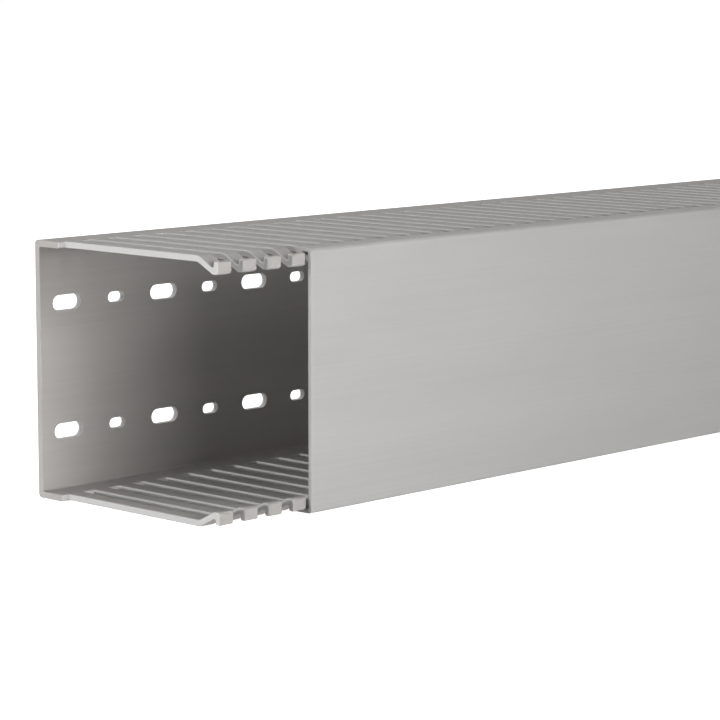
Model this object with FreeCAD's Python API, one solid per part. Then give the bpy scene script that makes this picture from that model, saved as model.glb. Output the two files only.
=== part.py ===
import FreeCAD, Part
import math
import os

# Slotted wire duct with its clip-on lid, in millimetres.
# It lies on one slotted side wall: +X runs along the length away from the open near end,
# -Y is the way the lid faces, +Y is the perforated base and +Z is up.
# The lid is slid back along the duct, so that the first fingers stand free at the near end.

# Driving dimensions of the channel
DUCT_LENGTH = 1000.0
DUCT_WIDTH = 100.0
DUCT_HEIGHT = 100.0
BASE_THICKNESS = 2.6
WALL_THICKNESS = 2.6
CORNER_RADIUS = 1.5
FILLET_RADIUS = 1.0

# Slots between the fingers
SLOT_PITCH = 12.5
SLOT_WIDTH = 5.5
NEAR_SETBACK = 3.75
WEB_HEIGHT = 14.0

# Finger tip, bent inwards and ending in an outward tab
KNEE_RUN = 8.0
KNEE_DROP = 4.3
TAB_THICKNESS = 2.4
TAB_HEIGHT = 5.0
TAB_CHAMFER = 0.6

# Fixing slots in the base, two rows of alternating long and short ones
ROW_SPACING = 50.0
HOLE_PITCH = 50.0
LONG_HOLE_LENGTH = 14.0
LONG_HOLE_WIDTH = 6.0
SHORT_HOLE_LENGTH = 8.2
SHORT_HOLE_WIDTH = 4.2
SCREW_STEP_COUNT = 5
END_FLAT_COUNT = 6

# Snap lid
LID_THICKNESS = 1.6
LID_CORNER_RADIUS = 1.5
FLANGE_THICKNESS = 1.4
FLANGE_DEPTH = 8.5
BARB_DEPTH = 1.7
BARB_LENGTH = 3.4
BARB_TIP = 0.6
CLEARANCE = 0.3
FREE_FINGERS = 4
LID_PAST_FINGER = 0.75

# Places worked out from the dimensions
LID_SLIDE = NEAR_SETBACK + FREE_FINGERS * SLOT_PITCH - SLOT_WIDTH + LID_PAST_FINGER
NEAR_X = -(DUCT_LENGTH + LID_SLIDE) / 2
BASE_Y = DUCT_HEIGHT / 2
MID_Z = DUCT_WIDTH / 2
TIP_FRONT = DUCT_HEIGHT - LID_THICKNESS - CLEARANCE
TIP_END = DUCT_WIDTH / 2 - FLANGE_THICKNESS - CLEARANCE


def place(depth, side):
    """Point of the near end section, from its depth below the base face and its distance from mid width."""
    return FreeCAD.Vector(NEAR_X, BASE_Y - depth, MID_Z + side)


def extrude(outline, length, start=0.0):
    """Solid from a closed section, pushed along the duct."""
    wire = Part.Wire(Part.__sortEdges__(outline))
    solid = Part.Face(wire).extrude(FreeCAD.Vector(length, 0, 0))
    solid.translate(FreeCAD.Vector(start, 0, 0))
    return solid


def chain(points):
    """Straight edges through the points."""
    return [Part.makeLine(a, b) for a, b in zip(points, points[1:])]


def half_section(sign):
    """Outline of one half of the channel, from mid width round the base corner to the finger tip and back."""
    outer = DUCT_WIDTH / 2
    inner = outer - WALL_THICKNESS
    tab_back = TIP_FRONT - TAB_THICKNESS
    pocket = outer - KNEE_DROP
    knee = tab_back - KNEE_RUN
    root = TIP_END - TAB_HEIGHT
    diagonal = math.hypot(KNEE_RUN, KNEE_DROP)
    lean = WALL_THICKNESS * (diagonal - KNEE_RUN) / KNEE_DROP

    def at(depth, side):
        return place(depth, sign * side)

    bend = CORNER_RADIUS * (1 - math.sqrt(0.5))
    corner = Part.Arc(
        at(0, outer - CORNER_RADIUS),
        at(bend, outer - bend),
        at(CORNER_RADIUS, outer),
    ).toShape()
    turn = FILLET_RADIUS * (1 - math.sqrt(0.5))
    fillet = Part.Arc(
        at(BASE_THICKNESS + FILLET_RADIUS, inner),
        at(BASE_THICKNESS + turn, inner - turn),
        at(BASE_THICKNESS, inner - FILLET_RADIUS),
    ).toShape()
    tip = chain([
        at(CORNER_RADIUS, outer),
        at(knee, outer),
        at(tab_back, pocket),
        at(tab_back, TIP_END),
        at(TIP_FRONT - TAB_CHAMFER, TIP_END),
        at(TIP_FRONT, TIP_END - TAB_CHAMFER),
        at(TIP_FRONT, root + TAB_CHAMFER),
        at(TIP_FRONT - TAB_CHAMFER, root),
        at(tab_back - lean, root),
        at(knee - lean, inner),
        at(BASE_THICKNESS + FILLET_RADIUS, inner),
    ])
    base = [
        Part.makeLine(at(0, 0), at(0, outer - CORNER_RADIUS)),
        Part.makeLine(at(BASE_THICKNESS, inner - FILLET_RADIUS), at(BASE_THICKNESS, 0)),
        Part.makeLine(at(BASE_THICKNESS, 0), at(0, 0)),
    ]
    return [corner, fillet] + tip + base


def side_slots():
    """Cutters for the slots of both walls, open towards the lid."""
    cutters = []
    first = NEAR_SETBACK - SLOT_WIDTH
    count = math.ceil((DUCT_LENGTH - first) / SLOT_PITCH)
    for index in range(count):
        start = NEAR_X + first + index * SLOT_PITCH
        corner = FreeCAD.Vector(start, BASE_Y - DUCT_HEIGHT, 0)
        cutters.append(Part.makeBox(SLOT_WIDTH, DUCT_HEIGHT - WEB_HEIGHT, DUCT_WIDTH, corner))
    return cutters


def obround(centre_x, centre_z, length, width, true_round):
    """Cutter for one fixing slot through the base. Each end is one arc, or a few flats on the same curve."""
    radius = width / 2
    steps = 2 if true_round else END_FLAT_COUNT
    turns = [math.pi * (0.5 - step / steps) for step in range(steps + 1)]
    right, left = [
        [
            FreeCAD.Vector(
                centre_x + side * (length / 2 - radius + radius * math.cos(turn)),
                BASE_Y - 2 * BASE_THICKNESS,
                centre_z + side * radius * math.sin(turn),
            )
            for turn in turns
        ]
        for side in (1, -1)
    ]
    edges = [Part.makeLine(right[-1], left[0]), Part.makeLine(left[-1], right[0])]
    for points in (right, left):
        edges += [Part.Arc(*points).toShape()] if true_round else chain(points)
    wire = Part.Wire(Part.__sortEdges__(edges))
    return Part.Face(wire).extrude(FreeCAD.Vector(0, 3 * BASE_THICKNESS, 0))


def fixing_slots():
    """Cutters for both rows: long slots at every fourth finger pitch and short ones midway between.

    The slots meant for screws, at the ends and some steps in, are truly round. The others have flats.
    """
    cutters = []
    first = NEAR_SETBACK + SLOT_PITCH - SLOT_WIDTH / 2
    for length, width, shift in (
        (LONG_HOLE_LENGTH, LONG_HOLE_WIDTH, 0.0),
        (SHORT_HOLE_LENGTH, SHORT_HOLE_WIDTH, HOLE_PITCH / 2),
    ):
        room = DUCT_LENGTH - length / 2 - first - shift
        last = math.ceil(room / HOLE_PITCH) - 1
        screwed = (0, SCREW_STEP_COUNT, last - SCREW_STEP_COUNT, last)
        for index in range(last + 1):
            centre_x = NEAR_X + first + shift + index * HOLE_PITCH
            for side in (-1, 1):
                centre_z = MID_Z + side * ROW_SPACING / 2
                cutters.append(obround(centre_x, centre_z, length, width, index in screwed))
    return cutters


def slotted_base():
    """Base and both finger walls, extruded as one piece, then punched."""
    halves = [extrude(half_section(sign), DUCT_LENGTH) for sign in (1, -1)]
    channel = halves[0].fuse(halves[1]).removeSplitter()
    return channel.cut(side_slots() + fixing_slots())


def lid_flange(sign):
    """Side flange of the lid, with the barb that snaps behind the finger tabs."""
    outer = DUCT_WIDTH / 2
    inner = outer - FLANGE_THICKNESS
    front = DUCT_HEIGHT - LID_THICKNESS
    end = DUCT_HEIGHT - FLANGE_DEPTH
    catch = TIP_FRONT - TAB_THICKNESS - CLEARANCE

    def at(depth, side):
        return place(depth, sign * side)

    bend = LID_CORNER_RADIUS * (1 - math.sqrt(0.5))
    round_edge = Part.Arc(
        at(DUCT_HEIGHT - LID_CORNER_RADIUS, outer),
        at(DUCT_HEIGHT - bend, outer - bend),
        at(DUCT_HEIGHT, outer - LID_CORNER_RADIUS),
    ).toShape()
    lines = chain([
        at(DUCT_HEIGHT, outer - LID_CORNER_RADIUS),
        at(DUCT_HEIGHT, 0),
        at(front, 0),
        at(front, inner),
        at(catch, inner),
        at(catch, inner - BARB_DEPTH),
        at(catch - BARB_TIP, inner - BARB_DEPTH),
        at(catch - BARB_LENGTH, inner),
        at(end, inner),
        at(end, outer),
        at(DUCT_HEIGHT - LID_CORNER_RADIUS, outer),
    ])
    return [round_edge] + lines


def snap_lid():
    """Lid plate with both flanges, as long as the channel and slid back along it."""
    halves = [extrude(lid_flange(sign), DUCT_LENGTH, LID_SLIDE) for sign in (1, -1)]
    return halves[0].fuse(halves[1]).removeSplitter()


NODES = {
    "slotted_base": slotted_base,
    "snap_lid": snap_lid,
}

os.makedirs("parts", exist_ok=True)
for name, build in NODES.items():
    build().exportStep("parts/" + name + ".step")
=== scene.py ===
import math

import bmesh
import bpy
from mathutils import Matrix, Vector


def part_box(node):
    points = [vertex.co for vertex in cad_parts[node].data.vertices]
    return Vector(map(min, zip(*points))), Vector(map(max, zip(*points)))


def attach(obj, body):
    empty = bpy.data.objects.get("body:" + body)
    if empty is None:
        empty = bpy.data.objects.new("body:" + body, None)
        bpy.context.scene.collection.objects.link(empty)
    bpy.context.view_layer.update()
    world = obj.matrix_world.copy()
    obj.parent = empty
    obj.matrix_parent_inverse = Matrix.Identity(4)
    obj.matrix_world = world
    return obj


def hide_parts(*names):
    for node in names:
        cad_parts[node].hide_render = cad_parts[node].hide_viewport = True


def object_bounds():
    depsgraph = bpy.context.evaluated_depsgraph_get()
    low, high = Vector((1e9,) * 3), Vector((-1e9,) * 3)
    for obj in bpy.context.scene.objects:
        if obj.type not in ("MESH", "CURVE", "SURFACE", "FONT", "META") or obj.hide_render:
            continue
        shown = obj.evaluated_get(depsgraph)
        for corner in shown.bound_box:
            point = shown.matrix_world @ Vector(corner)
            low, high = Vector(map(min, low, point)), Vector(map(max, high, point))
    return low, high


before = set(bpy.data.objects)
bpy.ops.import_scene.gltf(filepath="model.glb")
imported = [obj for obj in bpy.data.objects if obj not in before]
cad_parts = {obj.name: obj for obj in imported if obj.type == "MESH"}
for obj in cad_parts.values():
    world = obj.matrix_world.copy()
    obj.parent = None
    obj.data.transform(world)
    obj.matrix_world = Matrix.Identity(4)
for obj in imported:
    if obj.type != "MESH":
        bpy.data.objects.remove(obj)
cad_low, cad_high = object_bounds()
base_low, base_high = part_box("slotted_base")
lid_low, lid_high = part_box("snap_lid")

# Units: section and slot sizes are in millimetres, and MM turns them into Blender's metres. The floor,
# the softboxes and the camera's clipping are given in metres
MM = 0.001

# Channel section: depth runs from the base's outer face towards the lid, side from mid width to a wall
CHANNEL_SIDE = 50.0
BASE_THICKNESS = 2.6
WALL_THICKNESS = 2.6
WEB_HEIGHT = 14.0
TIP_FRONT = 98.1
TAB_THICKNESS = 2.4
TAB_HEIGHT = 5.0
TAB_END = 48.3
KNEE_RUN = 8.0
KNEE_DROP = 4.3

# Lid section, with the barb that snaps behind the finger tabs
LID_FRONT = 100.0
LID_THICKNESS = 1.6
FLANGE_THICKNESS = 1.4
FLANGE_DEPTH = 8.5
BARB_DEPTH = 1.7
BARB_LENGTH = 3.4
BARB_TIP = 0.6
CLEARANCE = 0.3

# Radii of the sections' corners, and the widest angle between two points of a corner's arc
CORNER_RADIUS = 1.5
FILLET_RADIUS = 1.0
KNEE_OUTER_RADIUS = 6.0
KNEE_INNER_RADIUS = 4.0
POCKET_RADIUS = 0.7
TAB_RADIUS = 0.7
ROOT_RADIUS = 1.3
FLANGE_RADIUS = 0.5
ARC_STEP = math.radians(15)

# Punched slots, with their first places along the duct: the near end cuts the first side slot through
SLOT_PITCH = 12.5
SLOT_WIDTH = 5.5
SLOT_ROOT_RADIUS = 1.0
FIRST_SLOT = -1.75
LONG_HOLE = (14.0, 6.0)
SHORT_HOLE = (8.2, 4.2)
FIRST_LONG_HOLE = 13.5
HOLE_PITCH = 50.0
ROW_SIDE = 25.0
HOLE_END_STEPS = 12

# Widths of the softened edges, and the angle from which an edge is softened
PUNCHED_EDGE = 0.6
HOLE_EDGE = 0.15
SAWN_EDGE = 0.3
SHARP_ANGLE = math.radians(40)
EDGE_SEGMENTS = 2

# What counts as a punched face: how far the slots reach, and what a normal's share along an axis says
HOLES_DEPTH = 1.1 * BASE_THICKNESS
HOLES_SIDE = 1.5 * ROW_SIDE
ROOT_MARGIN = 0.01
FACES_ALONG = 0.9
FACES_ACROSS = 0.1

# Greys of the PVC from 0 to 255. Warmth adds to the red and takes from the blue
CHANNEL_GREY = 173
CHANNEL_WARMTH = 3.0
LID_GREY = 182
LID_WARMTH = 1.0
# Punched faces are paler partly because punched PVC whitens and partly as painted light: their grey
# stands in for the bright light on the cut faces and the highlights at their edges
PUNCHED_PALE_AND_PAINTED_LIGHT_GREY = 205
SAWN_GREY = 170
CUT_WARMTH = 1.0

# Extruded PVC: scale, stretch and detail of its noises, their shares of its tone, its gloss and relief
MOTTLE_NOISE = (60.0, 6.0, 3.0)
LINE_NOISE = (900.0, 300.0, 3.0)
MOTTLE_SHARE = 0.6
LINE_SHARE = 0.4
TONE_LOW = 0.35
TONE_HIGH = 0.65
TONE_STEP = 3
GLOSSIEST = 0.42
DULLEST = 0.55
LINE_STRENGTH = 0.25
LINE_HEIGHT = 0.00005

# Punched and sawn PVC: its grain, how much darker and paler that makes it, its roughness and relief
GRAIN_NOISE = (1500.0, 1.0, 4.0)
GRAIN_DARKER = 8
GRAIN_PALER = 6
CUT_ROUGHNESS = 0.7
GRAIN_STRENGTH = 0.3
GRAIN_HEIGHT = 0.0001

# Floor, whose glow makes it white to the camera, and the world's strength as light and in reflections
WHITE = (1.0, 1.0, 1.0, 1.0)
FLOOR_REACH = 20.0
FLOOR_COLOUR = (0.8, 0.8, 0.8, 1.0)
FLOOR_ROUGHNESS = 0.9
FLOOR_GLOW = 0.93
WORLD_LIGHT = 0.09
WORLD_IN_GLOSS = 0.3

# Camera, from the photograph's perspective. Its place is given in millimetres from the near end of the
# base's outer face, and its angles in degrees
CAMERA_FROM_END = (-670.6, -818.5, 151.6)
CAMERA_AZIMUTH = -46.07
CAMERA_ELEVATION = 8.02
CAMERA_LENS = 138.2
SENSOR_WIDTH = 36.0
CAMERA_CLIPPING = (0.01, 100.0)

# Softboxes: name, place, target, size, power in watts and spread in degrees, which some grids narrow
OPEN_SPREAD = 180.0
SOFTBOXES = (
    ("front_softbox", (0.0, -3.0, 0.8), (0.0, 0.0, 0.05), 2.0, 10.5, OPEN_SPREAD),
    ("near_end_softbox", (-0.25, -1.4, 0.4), (-0.75, 0.0, 0.05), 0.8, 1.15, 40.0),
    ("low_softbox", (-0.6, -0.9, 0.15), (-0.45, 0.0, 0.05), 0.4, 2.0, OPEN_SPREAD),
    ("left_softbox", (-2.5, 0.1, 0.24), (-0.4, 0.0, 0.05), 0.4, 24.0, OPEN_SPREAD),
    ("back_softbox", (-0.6, 1.2, 1.8), (-0.3, 0.0, 0.05), 1.2, 21.0, OPEN_SPREAD),
    ("right_softbox", (2.6, 0.1, 0.25), (0.4, 0.0, 0.05), 0.4, 20.0, OPEN_SPREAD),
    ("rear_softbox", (0.0, 2.5, 0.3), (0.0, 0.0, 0.05), 0.5, 22.0, OPEN_SPREAD),
    ("far_front_softbox", (1.0, -1.5, 0.5), (1.0, 0.0, 0.05), 1.0, 4.0, 80.0),
)


def section_point(x, depth, side):
    """Point of the channel in the row frame, x millimetres from its near end."""
    middle = (base_low.z + base_high.z) / 2
    return Vector((base_low.x + x * MM, base_high.y - depth * MM, middle + side * MM))


def round_corners(corners):
    """Points of a closed outline whose corners (depth, side, radius) are rounded off by arcs."""
    points = []
    for index, (depth, side, radius) in enumerate(corners):
        corner = Vector((depth, side))
        if not radius:
            points.append(corner)
            continue
        back = (Vector(corners[index - 1][:2]) - corner).normalized()
        ahead = (Vector(corners[(index + 1) % len(corners)][:2]) - corner).normalized()
        half = back.angle(ahead) / 2
        centre = corner + (back + ahead).normalized() * radius / math.sin(half)
        start = corner + back * radius / math.tan(half) - centre
        end = corner + ahead * radius / math.tan(half) - centre
        turn = -start.angle_signed(end)
        steps = math.ceil(abs(turn) / ARC_STEP) + 1
        for step in range(steps + 1):
            angle = turn * step / steps
            cos, sin = math.cos(angle), math.sin(angle)
            arm = Vector((start.x * cos - start.y * sin, start.x * sin + start.y * cos))
            points.append(centre + arm)
    return points


def channel_outline():
    """Closed section of the channel, with the bent finger tips and their outward tabs."""
    tab_back = TIP_FRONT - TAB_THICKNESS
    knee = tab_back - KNEE_RUN
    root = TAB_END - TAB_HEIGHT
    inner = CHANNEL_SIDE - WALL_THICKNESS
    lean = WALL_THICKNESS * (math.hypot(KNEE_RUN, KNEE_DROP) - KNEE_RUN) / KNEE_DROP
    half = [
        (0, CHANNEL_SIDE, CORNER_RADIUS),
        (knee, CHANNEL_SIDE, KNEE_OUTER_RADIUS),
        (tab_back, CHANNEL_SIDE - KNEE_DROP, POCKET_RADIUS),
        (tab_back, TAB_END, TAB_RADIUS),
        (TIP_FRONT, TAB_END, TAB_RADIUS),
        (TIP_FRONT, root, ROOT_RADIUS),
        (tab_back - lean, root, ROOT_RADIUS),
        (knee - lean, inner, KNEE_INNER_RADIUS),
        (BASE_THICKNESS, inner, FILLET_RADIUS),
    ]
    mirrored = [(depth, -side, radius) for depth, side, radius in reversed(half)]
    return round_corners(half + mirrored)


def lid_outline():
    """Closed section of the lid, with a flange and a barb at each side."""
    inner = CHANNEL_SIDE - FLANGE_THICKNESS
    end = LID_FRONT - FLANGE_DEPTH
    catch = TIP_FRONT - TAB_THICKNESS - CLEARANCE
    half = [
        (LID_FRONT, CHANNEL_SIDE, CORNER_RADIUS),
        (end, CHANNEL_SIDE, FLANGE_RADIUS),
        (end, inner, FLANGE_RADIUS),
        (catch - BARB_LENGTH, inner, 0),
        (catch - BARB_TIP, inner - BARB_DEPTH, 0),
        (catch, inner - BARB_DEPTH, 0),
        (catch, inner, 0),
        (LID_FRONT - LID_THICKNESS, inner, 0),
    ]
    mirrored = [(depth, -side, radius) for depth, side, radius in reversed(half)]
    return round_corners(half + mirrored)


def add_prism(mesh, near_ring, far_ring):
    """Adds the closed solid between two outlines of as many points."""
    near, far = ([mesh.verts.new(point) for point in ring] for ring in (near_ring, far_ring))
    for index in range(len(near)):
        mesh.faces.new((near[index - 1], near[index], far[index], far[index - 1]))
    mesh.faces.new(near)
    mesh.faces.new(far)


def add_side_slots(mesh, length):
    """Adds the cutters for the slots between the fingers, through both walls and open towards the lid."""
    reach = CHANNEL_SIDE + WALL_THICKNESS
    front = TIP_FRONT + WALL_THICKNESS
    start = FIRST_SLOT
    while start < length:
        end = start + SLOT_WIDTH
        rooted = [(start, WEB_HEIGHT, SLOT_ROOT_RADIUS), (end, WEB_HEIGHT, SLOT_ROOT_RADIUS)]
        outline = round_corners(rooted + [(end, front, 0), (start, front, 0)])
        add_prism(mesh, *(
            [section_point(x, depth, side) for x, depth in outline]
            for side in (-reach, reach)
        ))
        start += SLOT_PITCH


def add_fixing_slot(mesh, x, side, length, width):
    """Adds the cutter for one obround slot through the base."""
    radius = width / 2
    outline = []
    for end in (1, -1):
        for step in range(HOLE_END_STEPS + 1):
            angle = math.pi * (0.5 - step / HOLE_END_STEPS)
            along = end * (length / 2 - radius + radius * math.cos(angle))
            outline.append((x + along, side + end * radius * math.sin(angle)))
    add_prism(mesh, *(
        [section_point(along, depth, across) for along, across in outline]
        for depth in (-BASE_THICKNESS, 2 * BASE_THICKNESS)
    ))


def add_fixing_slots(mesh, length):
    """Adds the cutters for both rows of alternating long and short slots."""
    for (hole_length, hole_width), first in (
        (LONG_HOLE, FIRST_LONG_HOLE),
        (SHORT_HOLE, FIRST_LONG_HOLE + HOLE_PITCH / 2),
    ):
        x = first
        while x + hole_length / 2 < length:
            for side in (-ROW_SIDE, ROW_SIDE):
                add_fixing_slot(mesh, x, side, hole_length, hole_width)
            x += HOLE_PITCH


def mesh_object(name, mesh):
    """Object from a finished bmesh, with its faces turned outwards."""
    bmesh.ops.recalc_face_normals(mesh, faces=mesh.faces)
    data = bpy.data.meshes.new(name)
    mesh.to_mesh(data)
    mesh.free()
    piece = bpy.data.objects.new(name, data)
    bpy.context.scene.collection.objects.link(piece)
    return piece


def extruded_object(name, outline, near, far):
    """Object from a section, pushed along the duct between two distances from its near end."""
    mesh = bmesh.new()
    add_prism(mesh, *([section_point(x, *point) for point in outline] for x in (near, far)))
    return mesh_object(name, mesh)


def apply_modifiers(piece):
    """Replaces the piece's mesh by the result of its modifiers."""
    shown = piece.evaluated_get(bpy.context.evaluated_depsgraph_get())
    data = bpy.data.meshes.new_from_object(shown)
    piece.modifiers.clear()
    piece.data = data


def make_channel():
    """The whole channel: an extruded section with both patterns of slots punched out of it."""
    length = (base_high.x - base_low.x) / MM
    channel = extruded_object("punched_channel", channel_outline(), 0, length)
    cutters = bmesh.new()
    add_side_slots(cutters, length)
    add_fixing_slots(cutters, length)
    punches = mesh_object("punches", cutters)
    cut = channel.modifiers.new("punch", "BOOLEAN")
    cut.operation = "DIFFERENCE"
    cut.solver = "EXACT"
    cut.object = punches
    apply_modifiers(channel)
    bpy.data.objects.remove(punches)
    return channel


def between_ends(point):
    """Whether a point of the channel lies clear of its two sawn ends."""
    return base_low.x + SAWN_EDGE * MM < point.x < base_high.x - SAWN_EDGE * MM


def in_fixing_slots(point):
    """Whether a point of the channel belongs to a fixing slot in the base."""
    depth = base_high.y - point.y
    side = abs(point.z - (base_low.z + base_high.z) / 2)
    return depth < HOLES_DEPTH * MM and side < HOLES_SIDE * MM and between_ends(point)


def mark_punched_faces(channel):
    """Gives the faces made by the punch the second material slot."""
    root = base_high.y - WEB_HEIGHT * MM
    for face in channel.data.polygons:
        cut_across = abs(face.normal.x) > FACES_ALONG and between_ends(face.center)
        at_root = root - SLOT_ROOT_RADIUS * MM < face.center.y < root + ROOT_MARGIN * MM
        web_top = at_root and abs(face.normal.z) < FACES_ACROSS
        in_hole = in_fixing_slots(face.center) and abs(face.normal.y) < FACES_ACROSS
        face.material_index = int(cut_across or web_top or in_hole)


def make_lid():
    """The lid, one extruded section, as long as its solid and in its place."""
    near, far = ((x - base_low.x) / MM for x in (lid_low.x, lid_high.x))
    return extruded_object("clip_on_lid", lid_outline(), near, far)


def mark_sawn_ends(lid):
    """Gives the two cut ends the second material slot."""
    for face in lid.data.polygons:
        face.material_index = int(abs(face.normal.x) > FACES_ALONG)


def channel_edge(point):
    """Width of the rounding that a sharp edge of the channel has at the point."""
    if in_fixing_slots(point):
        return HOLE_EDGE
    return PUNCHED_EDGE if between_ends(point) else SAWN_EDGE


def soften_edges(piece, width_at):
    """Rounds the sharp edges by the width that width_at gives them, and shades the flat faces flat."""
    mesh = bmesh.new()
    mesh.from_mesh(piece.data)
    share = mesh.edges.layers.float.new("bevel_weight_edge")
    for edge in mesh.edges:
        if edge.calc_face_angle(0) > SHARP_ANGLE:
            edge[share] = width_at((edge.verts[0].co + edge.verts[1].co) / 2) / PUNCHED_EDGE
    mesh.to_mesh(piece.data)
    mesh.free()
    bevel = piece.modifiers.new("soften", "BEVEL")
    bevel.width = PUNCHED_EDGE * MM
    bevel.segments = EDGE_SEGMENTS
    bevel.limit_method = "WEIGHT"
    bevel.use_clamp_overlap = False
    bevel.harden_normals = True
    apply_modifiers(piece)


def put(tree, socket, value):
    """Links the value to the socket where it is another node's socket, and otherwise sets it."""
    if isinstance(value, bpy.types.NodeSocket):
        tree.links.new(value, socket)
    else:
        socket.default_value = value


def add_node(tree, kind, inputs):
    """New node, with its inputs given by name."""
    made = tree.nodes.new(kind)
    for name, value in inputs.items():
        put(tree, made.inputs[name], value)
    return made


def add_math(tree, operation, *values):
    """Output of a new math node, for numbers and for other nodes' sockets."""
    made = tree.nodes.new("ShaderNodeMath")
    made.operation = operation
    for socket, value in zip(made.inputs, values):
        put(tree, socket, value)
    return made.outputs[0]


def add_mix(tree, share, first, second):
    """Output of a new node that mixes two colours."""
    made = tree.nodes.new("ShaderNodeMix")
    made.data_type = "RGBA"
    for name, value in (("Factor", share), ("A", first), ("B", second)):
        put(tree, made.inputs[name], value)
    return made.outputs["Result"]


def stretched_noise(tree, scale, stretch, detail):
    """Noise in the object's own coordinates, drawn out along the duct by stretch."""
    place = tree.nodes.new("ShaderNodeTexCoord").outputs["Object"]
    squeeze = (1.0 / stretch, 1.0, 1.0)
    mapping = add_node(tree, "ShaderNodeMapping", {"Vector": place, "Scale": squeeze})
    noise = {"Vector": mapping.outputs[0], "Scale": scale, "Detail": detail}
    return add_node(tree, "ShaderNodeTexNoise", noise).outputs["Fac"]


def grey(value, warmth):
    """Linear colour from a grey between 0 and 255, with more red and less blue by its warmth."""
    def linear(level):
        share = level / 255
        return share / 12.92 if share <= 0.04045 else ((share + 0.055) / 1.055) ** 2.4
    return (linear(value + warmth), linear(value), linear(value - warmth), 1.0)


def new_material(name):
    """New material, its node tree and its surface shader."""
    material = bpy.data.materials.new(name)
    material.use_nodes = True
    return material, material.node_tree, material.node_tree.nodes["Principled BSDF"]


def dress(tree, surface, colour, roughness, relief, strength, height):
    """Gives the surface its colour and roughness, and a relief of that strength and height."""
    bump = add_node(tree, "ShaderNodeBump", {"Height": relief, "Strength": strength, "Distance": height})
    put(tree, surface.inputs["Base Color"], colour)
    put(tree, surface.inputs["Roughness"], roughness)
    put(tree, surface.inputs["Normal"], bump.outputs[0])


def extruded_pvc(name, value, warmth):
    """Satin PVC as it leaves the extruder: fine lines along the duct, faint mottling, uneven gloss."""
    material, tree, surface = new_material(name)
    mottle = stretched_noise(tree, *MOTTLE_NOISE)
    lines = stretched_noise(tree, *LINE_NOISE)
    mottled = add_math(tree, "MULTIPLY", mottle, MOTTLE_SHARE)
    lined = add_math(tree, "MULTIPLY", lines, LINE_SHARE)
    tone = {"Value": add_math(tree, "ADD", mottled, lined), "From Min": TONE_LOW, "From Max": TONE_HIGH}
    ramp = add_node(tree, "ShaderNodeMapRange", tone)
    darkest, palest = grey(value - TONE_STEP, warmth), grey(value + TONE_STEP, warmth)
    colour = add_mix(tree, ramp.outputs[0], darkest, palest)
    gloss = {"Value": mottle, "To Min": GLOSSIEST, "To Max": DULLEST}
    roughness = add_node(tree, "ShaderNodeMapRange", gloss).outputs[0]
    dress(tree, surface, colour, roughness, lines, LINE_STRENGTH, LINE_HEIGHT)
    return material


def cut_pvc(name, value):
    """Rougher PVC where the punch or the saw has cut it, with a fine grain."""
    material, tree, surface = new_material(name)
    grain = stretched_noise(tree, *GRAIN_NOISE)
    darkest, palest = grey(value - GRAIN_DARKER, CUT_WARMTH), grey(value + GRAIN_PALER, CUT_WARMTH)
    colour = add_mix(tree, grain, darkest, palest)
    dress(tree, surface, colour, CUT_ROUGHNESS, grain, GRAIN_STRENGTH, GRAIN_HEIGHT)
    return material


def white_for_camera(name):
    """Floor material: white to the camera and in reflections, softly darkened by the object's shadow."""
    material, tree, surface = new_material(name)
    path = tree.nodes.new("ShaderNodeLightPath")
    seen = add_math(tree, "MAXIMUM", path.outputs["Is Camera Ray"], path.outputs["Is Glossy Ray"])
    seen = add_math(tree, "MAXIMUM", seen, path.outputs["Is Transmission Ray"])
    put(tree, surface.inputs["Base Color"], FLOOR_COLOUR)
    put(tree, surface.inputs["Roughness"], FLOOR_ROUGHNESS)
    put(tree, surface.inputs["Emission Color"], WHITE)
    put(tree, surface.inputs["Emission Strength"], add_math(tree, "MULTIPLY", seen, FLOOR_GLOW))
    return material


def make_floor():
    """Large plain floor that the duct lies on."""
    mesh = bmesh.new()
    corners = [(-1, -1), (1, -1), (1, 1), (-1, 1)]
    mesh.faces.new([
        mesh.verts.new((x * FLOOR_REACH, y * FLOOR_REACH, cad_low.z))
        for x, y in corners
    ])
    floor = mesh_object("floor", mesh)
    floor.data.materials.append(white_for_camera("floor_white"))


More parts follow.
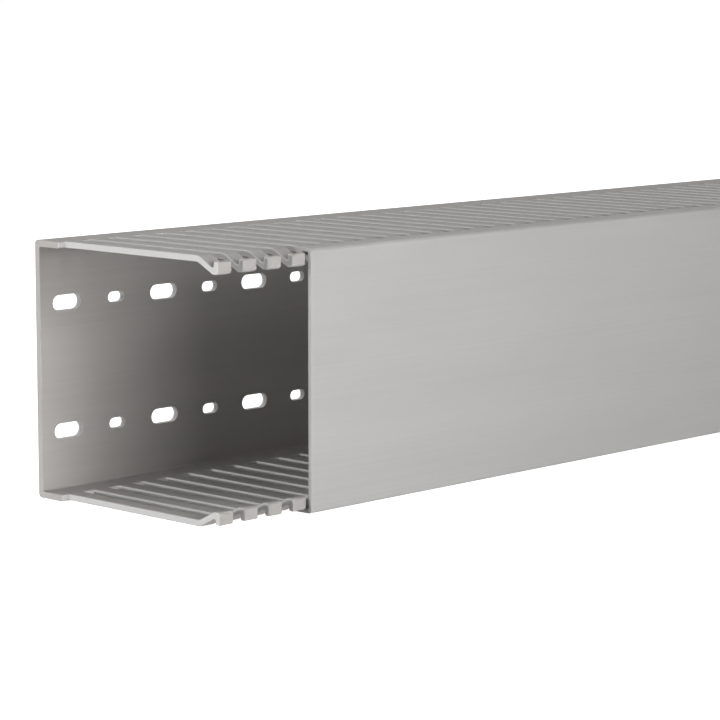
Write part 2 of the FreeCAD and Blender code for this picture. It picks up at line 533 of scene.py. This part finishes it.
def make_world():
    """Even soft light from all round: white to the camera, and paler in reflections than as light."""
    world = bpy.data.worlds.new("studio")
    world.use_nodes = True
    bpy.context.scene.world = world
    tree = world.node_tree
    path = tree.nodes.new("ShaderNodeLightPath")
    strength = WORLD_LIGHT
    for kind, level in (
        ("Is Camera Ray", 1.0),
        ("Is Transmission Ray", 1.0),
        ("Is Glossy Ray", WORLD_IN_GLOSS),
    ):
        share = add_math(tree, "MULTIPLY", path.outputs[kind], level)
        strength = add_math(tree, "MAXIMUM", share, strength)
    background = tree.nodes["Background"]
    put(tree, background.inputs["Strength"], strength)
    put(tree, background.inputs["Color"], WHITE)


def make_camera():
    """Camera at the photograph's viewpoint."""
    azimuth = math.radians(CAMERA_AZIMUTH)
    elevation = math.radians(CAMERA_ELEVATION)
    level = math.cos(elevation)
    back = Vector((math.sin(azimuth) * level, -math.cos(azimuth) * level, math.sin(elevation)))
    data = bpy.data.cameras.new("camera")
    data.lens = CAMERA_LENS
    data.sensor_width = SENSOR_WIDTH
    data.clip_start, data.clip_end = CAMERA_CLIPPING
    camera = bpy.data.objects.new("camera", data)
    camera.location = section_point(0, 0, 0) + Vector(CAMERA_FROM_END) * MM
    camera.rotation_euler = (-back).to_track_quat("-Z", "Y").to_euler()
    bpy.context.scene.collection.objects.link(camera)
    bpy.context.scene.camera = camera


def add_softbox(name, place, target, size, power, spread):
    """Square area lamp that points at the target, with its spread in degrees."""
    data = bpy.data.lights.new(name, "AREA")
    data.size = size
    data.energy = power
    data.spread = math.radians(spread)
    lamp = bpy.data.objects.new(name, data)
    lamp.visible_camera = False
    lamp.location = place
    lamp.rotation_euler = (Vector(target) - Vector(place)).to_track_quat("-Z", "Y").to_euler()
    bpy.context.scene.collection.objects.link(lamp)


channel = make_channel()
mark_punched_faces(channel)
soften_edges(channel, channel_edge)
channel.data.materials.append(extruded_pvc("extruded_pvc", CHANNEL_GREY, CHANNEL_WARMTH))
# Punched faces get a paler grey that is partly whitened PVC and partly painted light
channel.data.materials.append(cut_pvc("punched_pvc_pale_and_painted_light", PUNCHED_PALE_AND_PAINTED_LIGHT_GREY))
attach(channel, "duct")
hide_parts("slotted_base")

lid = make_lid()
mark_sawn_ends(lid)
soften_edges(lid, lambda point: SAWN_EDGE)
lid.data.materials.append(extruded_pvc("lid_pvc", LID_GREY, LID_WARMTH))
lid.data.materials.append(cut_pvc("sawn_pvc", SAWN_GREY))
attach(lid, "lid")
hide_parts("snap_lid")

make_floor()
make_world()
make_camera()
for softbox in SOFTBOXES:
    add_softbox(*softbox)
bpy.context.scene.view_settings.view_transform = "Standard"
